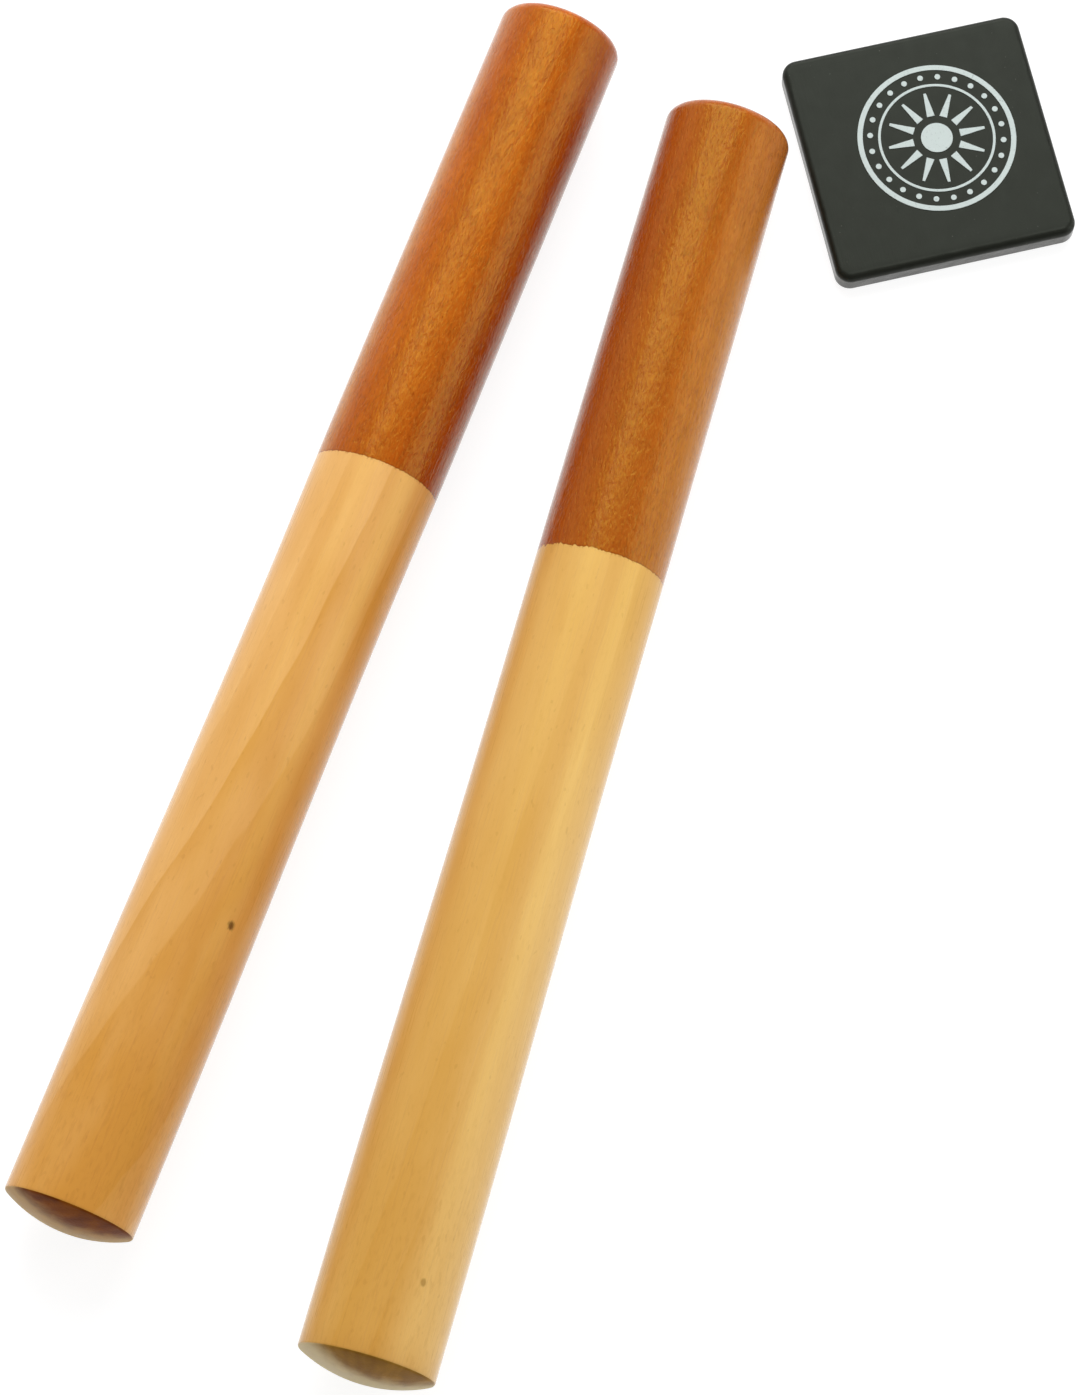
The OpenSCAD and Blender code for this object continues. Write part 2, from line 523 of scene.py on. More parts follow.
@dataclass(frozen=True)
class BareWood:
    """Pale close-grained hardwood with a thin satin oil.

    It is painted paler on the side at lit_side_angle, in degrees from the top towards the right, by
    the share lit_share: a painted light along that flank. Towards its playing end it is painted darker
    by the share end_shade, a painted shade for the light that falls off away from the lamp. It is also
    more flecked there by patches and darker near the rim by rim_dark. Stain bleeds a little way into it.
    """

    pale: Colour
    deep: Colour
    fleck: Colour
    blemish: Blemish
    # Share of painted shade towards the playing end.
    end_shade: float
    rim_dark: float = 0
    # Painted light on one flank: its tint, its angle round the stick and its share.
    lit_tint: Colour = (252, 210, 140)
    lit_side_angle: float = 68
    lit_share: float = 0
    roughness: float = 0.26
    fibre_roughness: float = 0.08
    end_shade_from: float = 120
    lit_edge: float = 0.45
    lit_rise: Pair = (105, 150)
    bleed_reach: float = 0.5
    patches_rise: Pair = (185, 230)
    rim_dark_depths: Pair = (9, 2.5)
    fleck_depth: float = 0.4
    relief_depth: float = 0.012
    clouds: Noise = Noise(scale=0.12, share=0.36, along=0.25, shift=7)
    fibre: Noise = Noise(scale=2.6, share=0.15, detail=3, along=0.03, shift=11)
    flecks: Noise = Noise(scale=1.7, share=0.07, low=0.5, high=0.75, along=0.35, shift=13)
    specks: Noise = Noise(scale=1.3, share=0.15, low=0.76, high=0.8, detail=0, along=0.45, shift=23)
    bleed: Noise = Noise(scale=2.4, share=0.6, low=0.5, high=0.62, along=0.35, shift=31)
    patches: Noise = Noise(scale=1.6, share=0.14, low=0.5, high=0.68, along=0.25, shift=59)
    relief: Noise = Noise(scale=4, share=0.6, detail=3, along=0.05, shift=19)

    def material(self, wood: WoodPattern) -> bpy.types.Material:
        """Builds the material of a stick's bare end.

        Args:
            wood: The stick's wood.

        Returns:
            The material.
        """
        graph = wood.graph
        shade = graph.math("ADD", wood.layers()[1], wood.share(self.clouds))
        # Painted shade: darker towards the playing end, standing in for the light that falls off away from
        # the lamp.
        shade = graph.math("ADD", shade, graph.step(wood.z, self.end_shade_from, wood.length, 0, self.end_shade))
        # Painted light: past the stain, the flank at the given angle is tinted paler, standing in for light
        # on that side.
        lit_side = graph.step(wood.z, *self.lit_rise, 0, self.lit_share)
        lit_side = graph.times(graph.step(wood.facing(self.lit_side_angle), self.lit_edge, 1), lit_side)
        bleed = graph.step(graph.attribute("past_stain"), 0, self.bleed_reach, 1, 0)
        rim_dark_from, rim_dark_full = (wood.length - depth for depth in self.rim_dark_depths)
        fibre, flecks = wood.spread(self.fibre), wood.spread(self.flecks)
        colour = graph.tinted(
            self.pale,
            (self.deep, shade),
            (self.lit_tint, lit_side),
            (self.deep, graph.times(fibre, self.fibre.share)),
            (self.fleck, graph.times(flecks, self.flecks.share)),
            (self.fleck, wood.share(self.specks)),
            (self.blemish.tint, wood.blemished(self.blemish)),
            (self.fleck, graph.times(wood.share(self.bleed), bleed)),
            (self.fleck, graph.times(wood.share(self.patches), graph.step(wood.z, *self.patches_rise))),
            (self.fleck, graph.step(wood.z, rim_dark_from, rim_dark_full, 0, self.rim_dark)),
        )
        roughness = graph.plus(self.roughness, fibre, self.fibre_roughness)
        relief = graph.plus(wood.share(self.relief), flecks, -self.fleck_depth)
        return graph.surface(colour, roughness, relief, self.relief_depth, VARNISH)


@dataclass(frozen=True)
class CutWood:
    """The end grain of a stick's playing end, which drank the oil and went dark, and is painted paler below.

    Each growth layer holds some thin rings. The paler lower part is a painted reflection of the white table,
    and it ends along a slanted and blotchy line.
    """

    pale: Colour
    deep: Colour
    # Tint of the painted reflection on the lower part of the dome.
    reflection: Colour
    roughness: float = 0.45
    blotch_roughness: float = -0.1
    layer_share: float = 0.25
    rings: float = 6
    ring_share: float = 0.25
    ring_depth: float = 0.5
    reflection_slant: float = 0.35
    reflection_blotch: float = 1.5
    reflection_ramp: Ramp = (2.5, 9.5, 0.85, 0)
    relief_depth: float = 0.02
    blotches: Noise = Noise(scale=0.22, share=0.55, low=0.35, high=0.65, detail=3, shift=43)
    pores: Noise = Noise(scale=3.2, share=0.4, low=0.6, high=0.75, detail=1, shift=47)
    relief: Noise = Noise(scale=2.4, detail=3, shift=53)

    def material(self, wood: WoodPattern) -> bpy.types.Material:
        """Builds the material of a cut end.

        Args:
            wood: The stick's wood.

        Returns:
            The material.
        """
        graph = wood.graph
        part, shade = wood.layers()
        rings = graph.math("PINGPONG", graph.times(part, self.rings), 1.0)
        blotch = wood.spread(self.blotches)
        shade = graph.plus(graph.times(shade, self.layer_share), blotch, self.blotches.share)
        # Painted reflection: below a slanted, blotchy height the dome is tinted pale, standing in for the
        # white table mirrored there.
        height = graph.plus(graph.plus(wood.y, blotch, self.reflection_blotch), wood.x, self.reflection_slant)
        colour = graph.tinted(
            self.pale,
            (self.deep, graph.plus(shade, rings, self.ring_share)),
            (self.deep, wood.share(self.pores)),
            (self.reflection, graph.step(height, *self.reflection_ramp)),
        )
        roughness = graph.plus(self.roughness, blotch, self.blotch_roughness)
        relief = graph.plus(wood.spread(self.relief), rings, -self.ring_depth)
        return graph.surface(colour, roughness, relief, self.relief_depth, CUT_FUZZ)


@dataclass(frozen=True)
class StainedWood:
    """Orange-brown stain under a thin satin varnish, over the same wood.

    It is painted redder and darker on the side at shaded_flank_angle, a painted shade where it faces
    the other stick, and more golden on the side at gold_light_angle, partly the wood's own tone and partly
    a painted light on the open flank; both angles are in degrees from the top towards the right. Near its
    edge the wood soaked up more of it, and a dark line runs along the edge.
    """

    light: Colour
    bright: Colour
    deep: Colour
    rim: Colour
    red: Colour
    shaded_flank_angle: float
    gold: Colour
    gold_light_angle: float
    roughness: float = 0.2
    patch_roughness: float = 0.08
    layer_share: float = 0.7
    paleness: float = 0.13
    soaked: Ramp = (0, 35, 0.3, 0)
    flank_shade: Ramp = (0.3, 1, 0, 0.4)
    gold_lit: Ramp = (0.6, 1, 0, 1)
    gold_lit_fade: Ramp = (60, 90, 0.6, 0.3)
    least_pores: float = 0.4
    cut_end: Ramp = (2.2, 3, 0.7, 0)
    edge_line: Ramp = (0.05, 0.4, 0.45, 0)
    stroke_depth: float = 0.8
    relief_depth: float = 0.05
    clouds: Noise = Noise(scale=0.13, share=0.56, detail=3, along=0.25, shift=7)
    patches: Noise = Noise(scale=0.45, share=0.4, along=0.5, shift=9)
    fibre: Noise = Noise(scale=2.8, share=0.22, detail=3, along=0.04, shift=11)
    pores: Noise = Noise(scale=2.6, share=0.3, low=0.5, high=0.7, detail=1, along=0.25, shift=29)
    crowds: Noise = Noise(scale=0.25, share=0.6, low=0.35, high=0.65, along=0.3, shift=41)
    glints: Noise = Noise(scale=2.4, share=0.16, low=0.58, high=0.74, detail=1, along=0.4, shift=37)
    strokes: Noise = Noise(scale=3, share=0.2, low=0.58, high=0.7, detail=0, along=0.25, shift=61)
    relief: Noise = Noise(scale=1.5, detail=3, along=0.3, shift=19)

    def material(self, wood: WoodPattern) -> bpy.types.Material:
        """Builds the material of a stick's stained grip.

        Args:
            wood: The stick's wood.

        Returns:
            The material.
        """
        graph = wood.graph
        before = graph.attribute("before_edge")
        patches, strokes = wood.spread(self.patches), wood.spread(self.strokes)
        shade = graph.plus(-self.paleness, wood.layers()[1], self.layer_share)
        shade = graph.plus(graph.math("ADD", shade, wood.share(self.clouds)), patches, self.patches.share)
        # Partly painted light: the flank that faces away from the other stick is tinted gold, partly the
        # wood's own tone.
        gold_lit = graph.step(wood.facing(self.gold_light_angle), *self.gold_lit)
        crowd = graph.math("ADD", wood.share(self.crowds), self.least_pores)
        colour = graph.tinted(
            self.bright,
            (self.deep, shade),
            (self.deep, graph.step(before, *self.soaked)),
            # Painted shade: the flank that faces the other stick is tinted redder and darker.
            (self.red, graph.step(wood.facing(self.shaded_flank_angle), *self.flank_shade)),
            (self.gold, graph.times(gold_lit, graph.step(before, *self.gold_lit_fade))),
            (self.deep, wood.share(self.fibre)),
            (self.rim, graph.times(wood.share(self.pores), crowd)),
            (self.light, wood.share(self.glints)),
            (self.red, graph.times(strokes, self.strokes.share)),
            (self.rim, graph.step(wood.z, *self.cut_end)),
            (self.rim, graph.step(before, *self.edge_line)),
        )
        roughness = graph.plus(self.roughness, patches, self.patch_roughness)
        relief = graph.plus(wood.spread(self.relief), strokes, -self.stroke_depth)
        return graph.surface(colour, roughness, relief, self.relief_depth, VARNISH)


@dataclass(frozen=True)
class BlackPaint:
    """Black paint, satin where it was rubbed flat and glossier where it gathered round the sides.

    It shows brush marks along the block's own Y, and sags a little near its outer edges.
    """

    gloss_tint: Point
    roughness: float
    ior: float
    paint: Colour = (26, 27, 22)
    thin: Colour = (30, 31, 26)
    speck: Colour = (84, 84, 78)
    mottle_roughness: float = 0.06
    sag_depths: Pair = (1.6, 0.3)
    brush_along: float = 0.12
    relief_depth: float = 0.03
    mottle: Noise = Noise(scale=0.35, share=0.5, detail=4, roughness=0.6)
    specks: Noise = Noise(scale=1.6, share=0.5, low=0.77, high=0.8, detail=1, roughness=0.4)
    brush: Noise = Noise(scale=1.1, detail=3)
    sag: Noise = Noise(scale=0.3, share=6, roughness=0.5)

    def material(self, name: str, layout: Layout) -> bpy.types.Material:
        """Builds the block's material.

        Args:
            name: Name of the material.
            layout: How the block lies.

        Returns:
            The material.
        """
        graph = Graph(bpy.data.materials.new(name))
        own = graph.own((0, 0, 0), (0, 0, math.radians(layout.block_turn)))
        x, y, z = graph.node("ShaderNodeSeparateXYZ", {0: own}).outputs
        mottle = graph.spread(own, self.mottle)
        colour = graph.tinted(
            self.paint,
            (self.thin, graph.times(mottle, self.mottle.share)),
            (self.speck, graph.spread(own, self.specks, self.specks.share)),
        )
        brush = graph.noise(graph.combine(x, graph.times(y, self.brush_along), z), self.brush)
        out = graph.math("MAXIMUM", graph.math("ABSOLUTE", x), graph.math("ABSOLUTE", y))
        sag_from, sag_full = (layout.block_side / 2 - depth for depth in self.sag_depths)
        sag = graph.step(out, sag_from, sag_full, 0, self.sag.share)
        relief = graph.plus(brush, graph.noise(own, self.sag), sag)
        roughness = graph.plus(self.roughness, mottle, self.mottle_roughness)
        gloss = {"IOR": self.ior, "Specular Tint": (*self.gloss_tint, 1.0)}
        return graph.surface(colour, roughness, relief, self.relief_depth, gloss)


SATIN_PAINT = BlackPaint(gloss_tint=(0.36, 0.4, 0.34), roughness=0.42, ior=1.5)
GLOSSY_PAINT = BlackPaint(gloss_tint=(1, 1, 0.96), roughness=0.2, ior=1.75)


@dataclass(frozen=True)
class PaleInk:
    """Matte pale blue-grey printing ink, thin enough for the black to show a little."""

    full: Colour = (196, 208, 205)
    thin: Colour = (162, 174, 172)
    ior: float = 1.45
    relief_depth: float = 0.01
    wear: Noise = Noise(scale=2.2, share=0.8, low=0.42, high=0.3, detail=4, roughness=0.65)
    dull: Noise = Noise(scale=0.8, roughness=0.5)
    dulled: Ramp = (0.3, 0.7, 0.5, 0.62)
    relief: Noise = Noise(scale=3, detail=3, roughness=0.5)

    def material(self, name: str) -> bpy.types.Material:
        """Builds the print's material, called name."""
        graph = Graph(bpy.data.materials.new(name))
        own = graph.own((0, 0, 0), (0, 0, 0))
        colour = graph.tinted(self.full, (self.thin, graph.spread(own, self.wear, self.wear.share)))
        roughness = graph.step(graph.noise(own, self.dull), *self.dulled)
        relief = graph.noise(own, self.relief)
        return graph.surface(colour, roughness, relief, self.relief_depth, {"IOR": self.ior})


# Pieces


@dataclass(frozen=True)
class Stick:
    """One turned striking stick with domed ends: its bare wood and the coat of stain on its grip.

    All sizes are in millimetres. The swell is the thick part near the playing end and the waist the thin
    part near the middle.
    """

    side: Side
    grip_radius: float
    other_grip_radius: float
    swell_rise: float
    waist_drop: float
    stain_length: float
    left_teeth: float
    right_teeth: float
    seed: int
    growth: GrowthLayers
    bare: BareWood
    cut: CutWood
    stained: StainedWood
    length: float = 250
    dome_height: float = 3.1
    playing_rim_radius: float = 0.8
    grip_rim_radius: float = 2.4
    swell_share: float = 0.1
    waist_share: float = 0.49
    grip_share: float = 0.65
    coat_thickness: float = 0.2
    coat_clearance: float = 0.01
    fine_teeth: int = 240
    broad_teeth: int = 90
    broad_share: float = 0.4
    edge_wave: float = 0.12
    hand_turned: float = 0.035
    wave_steps: Point = (37, 23, 9)
    wave_shares: Point = (1, 0.6, 0.4)
    wave_middle: float = 3.6
    wave_span: float = 4
    columns: int = 512
    cut_rings: int = 18
    playing_rings: tuple[int, int] = (14, 8)
    grip_rings: tuple[int, int] = (14, 12)
    inner_rings: tuple[int, int] = (5, 4)
    bare_steps: int = 96
    coat_steps: int = 72
    inner_steps: int = 9

    @property
    def swell_radius(self) -> float:
        """Radius near the playing end."""
        return self.grip_radius + self.swell_rise / 2

    @property
    def waist_radius(self) -> float:
        """Radius at the thinnest place."""
        return self.grip_radius - self.waist_drop / 2

    def rim(self, side_radius: float, rim_radius: float) -> Pair:
        """Finds the dome's radius and how far the rim's arc has its centre from the tip.

        A cap of height h on a circle of radius r has the radius (r^2 + h^2) / 2h. The arc's centre lies
        R - sqrt((R - q)^2 - (r - q)^2) from the tip, with R the dome's radius and q the arc's.

        Args:
            side_radius: Radius of the stick at this end.
            rim_radius: Radius of the arc between side and dome.

        Returns:
            The dome's radius and the distance.
        """
        dome = (side_radius**2 + self.dome_height**2) / (2 * self.dome_height)
        return dome, dome - math.sqrt((dome - rim_radius) ** 2 - (side_radius - rim_radius) ** 2)

    def placement(self, layout: Layout) -> Placement:
        """Lays the stick on the table, resting on its swell and on the rim of its grip.

        Args:
            layout: How the set lies.

        Returns:
            The stick's own axes in the frame.
        """
        grips = (self.grip_radius, self.other_grip_radius)
        x, y, turn = layout.rim_centre(self.side, *(grips if self.side is Side.LEFT else grips[::-1]))
        turn = math.radians(turn)
        rim_up = self.rim(self.grip_radius, self.grip_rim_radius)[1]
        rest = self.length * (1 - self.swell_share) - rim_up
        lean = math.atan2(self.swell_radius - self.grip_radius, rest)
        height = self.grip_radius * math.cos(lean) + (self.dome_height - rim_up) * math.sin(lean)
        right = np.array([math.cos(turn), math.sin(turn), 0])
        level = np.array([math.sin(turn), -math.cos(turn), 0])
        along = level * math.cos(lean) + np.array([0, 0, math.sin(lean)])
        tip = np.array([x, y, height]) - self.dome_height * along
        return Placement(tip, np.stack([right, np.cross(along, right), along]), self.length)

    def side_radius(self, heights: np.ndarray) -> np.ndarray:
        """Radius of the stick's side, with cosine curves from the swell to the waist and on to the grip.

        Args:
            heights: Distances from the grip's tip.

        Returns:
            One radius for each.
        """
        share = 1 - heights / self.length
        fall = np.clip((share - self.swell_share) / (self.waist_share - self.swell_share), 0, 1)
        climb = np.clip((share - self.waist_share) / (self.grip_share - self.waist_share), 0, 1)
        radius = self.swell_radius + (self.waist_radius - self.swell_radius) * (1 - np.cos(np.pi * fall)) / 2
        return radius + (self.grip_radius - self.waist_radius) * (1 - np.cos(np.pi * climb)) / 2

    def end(
        self, side_radius: float, rim_radius: float, inset: float, rings: tuple[int, int]
    ) -> tuple[np.ndarray, np.ndarray]:
        """Outline of a domed end, from beside its pole to the end of the rim's arc.

        The dome is a circle round a point on the axis, and the rim a circle round a point inside the edge.
        Both meet on the line through their centres, and both lose the inset from their radius.

        Args:
            side_radius: Radius of the stick at this end.
            rim_radius: Radius of the arc between side and dome.
            inset: How far inside the stick's surface the outline runs.
            rings: Points on the dome and on the rim.

        Returns:
            Distances from the tip and radii, each shaped (points, 1).
        """
        dome, rim_up = self.rim(side_radius, rim_radius)
        meet = math.atan2(dome - rim_up, side_radius - rim_radius)
        tilt = np.linspace(0, math.pi / 2 - meet, rings[0] + 1)[1:]
        bend = np.linspace(meet, 0, rings[1] + 1)[1:]
        up = [dome - (dome - inset) * np.cos(tilt), rim_up - (rim_radius - inset) * np.sin(bend)]
        out = [(dome - inset) * np.sin(tilt), side_radius - rim_radius + (rim_radius - inset) * np.cos(bend)]
        return np.concatenate(up)[:, None], np.concatenate(out)[:, None]

    def angles(self) -> np.ndarray:
        """Angle of each column round the stick, from the top towards the right."""
        return np.linspace(-np.pi, np.pi, self.columns, endpoint=False)

    def stain_edge(self) -> np.ndarray:
        """Distance from the tip at which the stain ends in each column.

        A slow wave, and fine and broad teeth where the stain crept along the grain, longer on one side of
        the stick.
        """
        rng = np.random.default_rng(self.seed)
        angle = self.angles()
        place = angle / (2 * np.pi)
        teeth = (1 - self.broad_share) * ring_noise(place, self.fine_teeth, rng)
        teeth = teeth + self.broad_share * ring_noise(place, self.broad_teeth, rng)
        reach = self.right_teeth + (self.left_teeth - self.right_teeth) * (1 - np.sin(angle)) / 2
        return self.stain_length + self.edge_wave * np.sin(2 * angle + self.seed) + reach * teeth

    def to_rings(self, heights: np.ndarray, radii: np.ndarray) -> np.ndarray:
        """Turns distances from the tip and radii into the stick's own points.

        The lathe and the sanding left the side a little out of round: each radius loses about hand_turned,
        times (wave_middle - wave) / wave_span. The wave is the sum of three, each times its share, which run
        twice round the stick, three times round it and only along it, with their lengths in wave_steps.

        Args:
            heights: Distances from the tip, shaped (rings, columns).
            radii: Radii, shaped alike.

        Returns:
            Points, shaped (rings, columns, 3).
        """
        angle = self.angles()
        twice, thrice, along = self.wave_steps
        waves = (
            np.cos(2 * angle + heights / twice + self.seed),
            np.cos(3 * angle - heights / thrice),
            np.cos(heights / along + self.seed),
        )
        wave = sum(share * shape for share, shape in zip(self.wave_shares, waves))
        lost = self.hand_turned * (self.wave_middle - wave) / self.wave_span
        radii = radii * (1 - lost / self.grip_radius)
        return np.stack([radii * np.sin(angle), radii * np.cos(angle), heights], -1)

    def turned_piece(
        self, name: str, place: Placement, outline: list[tuple[np.ndarray, np.ndarray]], poles: list[float]
    ) -> tuple[bpy.types.Object, np.ndarray]:
        """Turns an outline into a closed piece.

        Args:
            name: Name of the piece.
            place: Where the stick lies.
            outline: Distances from the tip and radii of each stretch, shaped (points, columns or 1).
            poles: Distances from the tip of the first and the last point.

        Returns:
            The piece, and the distance from the tip of each of its ring points.
        """
        spread = np.ones(self.columns)
        heights, radii = (np.concatenate([part * spread for part in parts]) for parts in zip(*outline))
        rings = place.to_frame(self.to_rings(heights, radii))
        ends = place.to_frame(np.array([[0, 0, pole] for pole in poles]))
        return closed_surface(name, rings, *ends), heights

    def bare_piece(self, layout: Layout) -> bpy.types.Object:
        """Builds the dowel: its core under the coat, the shoulder at the stain's edge, and its bare part.

        Args:
            layout: How the set lies.

        Returns:
            The piece.
        """
        edge = self.stain_edge()
        place = self.placement(layout)
        thick = self.coat_thickness
        core_up, core_out = self.end(self.grip_radius, self.grip_rim_radius, thick, self.inner_rings)
        tip_up, tip_out = self.end(self.swell_radius, self.playing_rim_radius, 0, self.playing_rings)
        core_side = np.linspace(core_up[-1], edge, self.inner_steps)[1:]
        bare_side = np.linspace(edge, self.length - tip_up[-1], self.bare_steps)[:-1]
        outline = [
            (core_up, core_out),
            (core_side, self.side_radius(core_side) - thick),
            (bare_side, self.side_radius(bare_side)),
            (self.length - tip_up[::-1], tip_out[::-1]),
        ]
        name = self.side.value
        piece, heights = self.turned_piece(f"{name}_stick_wood", place, outline, [thick, self.length])
        add_attribute(piece, "past_stain", heights - edge)
        for label, finish in (("bare_wood", self.bare), ("cut_end", self.cut)):
            wood = WoodPattern(f"{name}_{label}", place, self.growth)
            piece.data.materials.append(finish.material(wood))
        slots = np.zeros(len(piece.data.polygons), dtype=np.int32)
        side_faces = (len(heights) - 1) * self.columns
        slots[side_faces - self.cut_rings * self.columns:side_faces] = 1
        slots[side_faces + self.columns:] = 1
        piece.data.polygons.foreach_set("material_index", slots)
        return piece

    def coat_piece(self, layout: Layout) -> bpy.types.Object:
        """Builds the coat of stain: a thin cup over the grip, with its edge on the shoulder of the dowel.

        Args:
            layout: How the set lies.

        Returns:
            The piece.
        """
        edge = self.stain_edge()
        place = self.placement(layout)
        depth = self.coat_thickness - self.coat_clearance
        outer_up, outer_out = self.end(self.grip_radius, self.grip_rim_radius, 0, self.grip_rings)
        inner_up, inner_out = self.end(self.grip_radius, self.grip_rim_radius, depth, self.inner_rings)
        outer_side = np.linspace(outer_up[-1], edge, self.coat_steps)[1:]
        inner_side = np.linspace(edge, inner_up[-1], self.inner_steps)[:-1]
        outline = [
            (outer_up, outer_out),
            (outer_side, self.side_radius(outer_side)),
            (inner_side, self.side_radius(inner_side) - depth),
            (inner_up[::-1], inner_out[::-1]),
        ]
        name = self.side.value
        piece, heights = self.turned_piece(f"{name}_grip_coat", place, outline, [0, depth])
        add_attribute(piece, "before_edge", edge - heights)
        piece.data.materials.append(self.stained.material(WoodPattern(f"{name}_stain", place, self.growth)))
        return piece

    def build(self, layout: Layout) -> None:
        """Builds both pieces and hangs them on the stick's body.

        Args:
            layout: How the set lies.
        """
        body = f"{self.side.value}_stick"
        pieces = (
            (self.bare_piece(layout), body, Slot.WOOD),
            (self.coat_piece(layout), f"{self.side.value}_grip_stain", Slot.STAIN),
        )
        for piece, node, slot in pieces:
            low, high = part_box(node)
            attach(piece, body)
            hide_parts(node)
            report(piece, low, high)


@dataclass(frozen=True)
class Block:
    """The thin square block with rounded corners and edges, and the round print on its top."""

    corner_radius: float = 3
    edge_radius: float = 0.8
    top_edge_radius: float = 1.4
    brushed: float = 0.03
    brush_marks: int = 60
    brush_waves: int = 3
    seed: int = 5
    corner_points: int = 28
    side_points: int = 44
    arc_rings: int = 10
    side_rings: int = 8
    flat_rings: int = 20

    def outline(self, half: float) -> np.ndarray:
        """Plan of a square with rounded corners, at equal steps along its sides and corners.

        Args:
            half: Half of the block's side.

        Returns:
            For each point the corner's centre and the outward direction, shaped (points, 4).
        """
        centre = half - self.corner_radius
        turn = np.linspace(0, np.pi / 2, self.corner_points)
        still = np.full_like(turn, centre)
        corner = np.stack([still, still, np.cos(turn), np.sin(turn)], -1)
        slide = np.linspace(centre, -centre, self.side_points + 2)[1:-1]
        still = np.full_like(slide, centre)
        straight = np.stack([slide, still, np.zeros_like(slide), np.ones_like(slide)], -1)
        quarter = np.concatenate([corner, straight])
        turns = np.arange(4) * np.pi / 2
        spin = np.stack([np.cos(turns), -np.sin(turns), np.sin(turns), np.cos(turns)], -1).reshape(4, 2, 2)
        pairs = quarter.reshape(-1, 2, 2)
        return np.einsum("kab,ncb->knca", spin, pairs).reshape(-1, 4)

    def body_piece(self, layout: Layout) -> bpy.types.Object:
        """Builds the painted block.

        The plan's outline is carried up a profile: half the underside, an arc of edge_radius, the side, an
        arc of top_edge_radius and half the top. The paint lies a little unevenly on the sides.

        Args:
            layout: How the block lies.

        Returns:
            The piece.
        """
        plan = self.outline(layout.block_side / 2)
        arc = np.linspace(0, np.pi / 2, self.arc_rings + 1)
        low_out = -self.edge_radius * (1 - np.sin(arc))
        low_up = self.edge_radius * (1 - np.cos(arc))
        shoulder = layout.block_height - self.top_edge_radius
        side_up = np.linspace(self.edge_radius, shoulder, self.side_rings + 2)[1:-1]
        top_out = -self.top_edge_radius * (1 - np.cos(arc))
        top_up = shoulder + self.top_edge_radius * np.sin(arc)
        out = np.concatenate([low_out, np.zeros(self.side_rings), top_out])
        up = np.concatenate([low_up, side_up, top_up])
        rng = np.random.default_rng(self.seed)
        place = np.arange(len(plan)) / len(plan)
        climb = np.pi * up[:, None] / layout.block_height
        waves = self.brush_waves
        wave = sum(
            ring_noise(place + step / waves, self.brush_marks, rng) * np.sin(climb + step)
            for step in range(waves)
        )
        depth = self.brushed * (1 + wave / waves) / 2 * np.sin(climb)
        reach = self.corner_radius + out[:, None] - depth
        wall = plan[:, :2] + reach[..., None] * plan[:, 2:]
        levels = np.broadcast_to(up[:, None, None], (*wall.shape[:2], 1))
        wall = np.concatenate([wall, levels], -1)
        share = np.linspace(0, 1, self.flat_rings + 1)[1:-1][:, None, None]
        under = wall[0] * share
        over = wall[-1] * share[::-1] + (1 - share[::-1]) * np.array([0, 0, layout.block_height])
        rings = np.concatenate([under, wall, over])
        turn = math.radians(layout.block_turn)
        cos, sin = math.cos(turn), math.sin(turn)
        spin = np.array([[cos, sin, 0], [-sin, cos, 0], [0, 0, 1]])
        rings = rings @ spin * MM
        poles = np.array([[0, 0, 0], [0, 0, layout.block_height]]) * MM
        piece = closed_surface("block_body", rings, poles[0], poles[1])
        piece.data.materials.append(SATIN_PAINT.material("block_top_paint", layout))
        piece.data.materials.append(GLOSSY_PAINT.material("block_side_paint", layout))
        slots = np.zeros(len(piece.data.polygons), dtype=np.int32)
        glossy_rings = len(wall) - 1 - self.arc_rings
        slots[len(under) * len(plan):(len(under) + glossy_rings) * len(plan)] = 1
        piece.data.polygons.foreach_set("material_index", slots)
        return piece

    def build(self, layout: Layout) -> None:
        """Builds the painted block and inks the print, which keeps its CAD shape.

        Args:
            layout: How the block lies.
        """
        low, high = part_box("block")
        piece = self.body_piece(layout)
        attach(piece, "block")
        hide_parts("block")
        report(piece, low, high)
        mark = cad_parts["block_mark"]
        mark.data.materials.clear()
        mark.data.materials.append(PaleInk().material("print_ink"))
        LOG.info("block_mark: CAD shape kept, inked")


# The studio


@dataclass(frozen=True)
class Lamp:
    """A soft rectangular lamp. Lengths are in metres and power in watts."""

    name: str
    place: Point
    aim: Point
    size: Pair
    power: float

    def build(self) -> None:
        """Hangs the lamp at its place, facing its aim, where the camera doesn't see it."""
        data = bpy.data.lights.new(self.name, "AREA")
        data.shape = "RECTANGLE"
        data.size, data.size_y = self.size
        data.energy = self.power
        lamp = bpy.data.objects.new(self.name, data)
        lamp.location = self.place
        lamp.rotation_euler = (Vector(self.aim) - Vector(self.place)).to_track_quat("-Z", "Y").to_euler()
        lamp.visible_camera = False
        bpy.context.scene.collection.objects.link(lamp)


